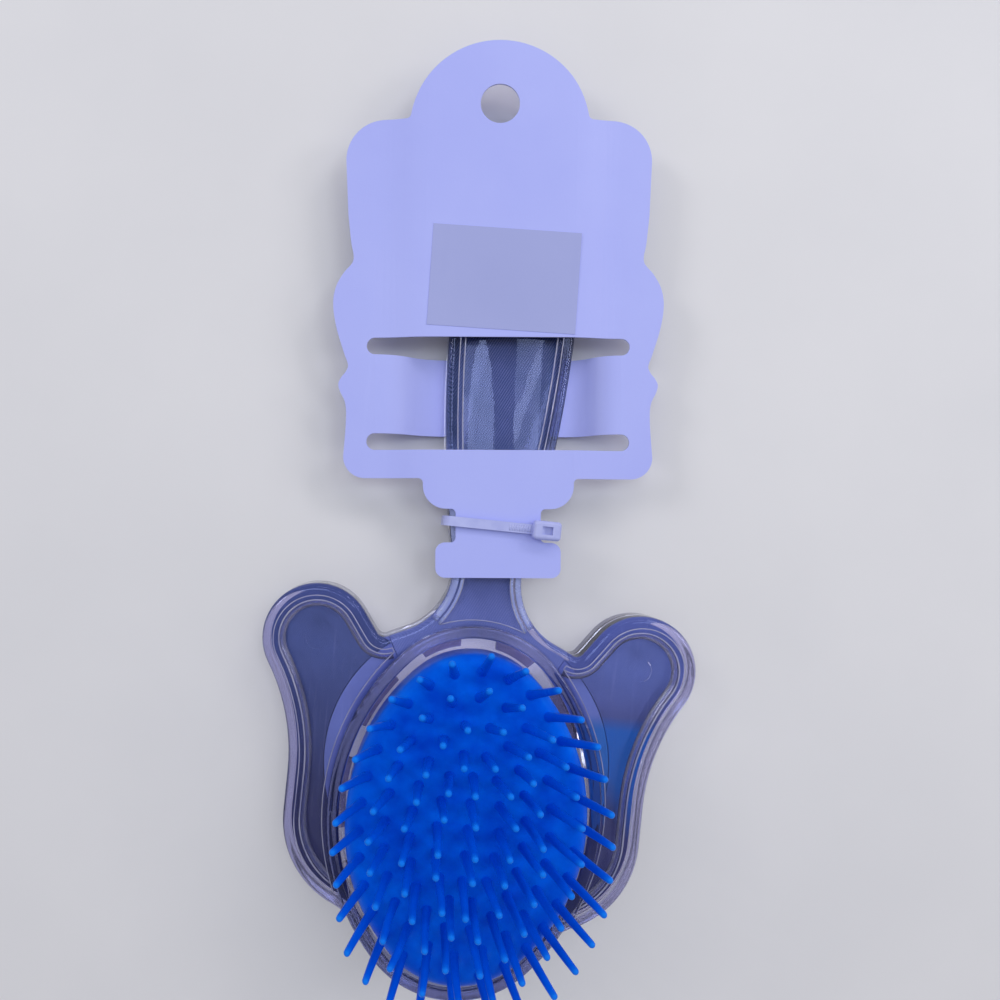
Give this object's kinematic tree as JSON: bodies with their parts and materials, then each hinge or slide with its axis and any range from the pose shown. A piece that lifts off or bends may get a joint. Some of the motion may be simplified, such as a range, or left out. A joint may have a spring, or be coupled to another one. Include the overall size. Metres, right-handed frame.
{
  "type": "hair brush",
  "caption": "Cushioned hair brush with a clear body with two round side lobes, splayed pins on a sprung oval cushion, and a handle tied to a blank slotted hang card.",
  "frame": {"origin": "on the flat back, under the middle of the oval head", "axes": "+Y along the brush to the end of the handle, +Z out of the back through the pins"},
  "size_m": [0.1096, 0.2398, 0.0345],
  "materials": {
    "clear_body": "clear, glossy moulding",
    "film": "satin, plain back of a print",
    "light_film": "satin, plain back of a print",
    "handle_film": "satin with a fine slanted weave",
    "base": "plain",
    "cushion": "soft, half gloss",
    "backing": "plain",
    "pin": "smooth, slightly clear",
    "card": "smooth, coated",
    "label": "smooth",
    "tie": "milky nylon"
  },
  "bodies": {
    "brush": {"back_shell": "clear_body", "front_shell": "clear_body", "pad_base": "base", "hang_card": "card", "card_label": "label", "cable_tie": "tie", "left_lobe_film": "film", "right_lobe_film": "film", "left_crescent_film": "light_film", "right_crescent_film": "light_film", "handle_film": "handle_film"},
    "cushion": {"pad_cushion": "cushion", "pin_backing": "backing", "pin_ring_1": "pin", "pin_ring_2": "pin", "pin_ring_3": "pin", "pin_ring_4": "pin", "pin_middle_row": "pin"}
  },
  "joints": [
    {"name": "pad_press", "type": "slide", "parent": "brush", "child": "cushion", "axis": [0, 0, -1], "range_m": [0, 0.0025], "stiffness_N_per_m": 4000, "springref_m": -0.0002}
  ]
}
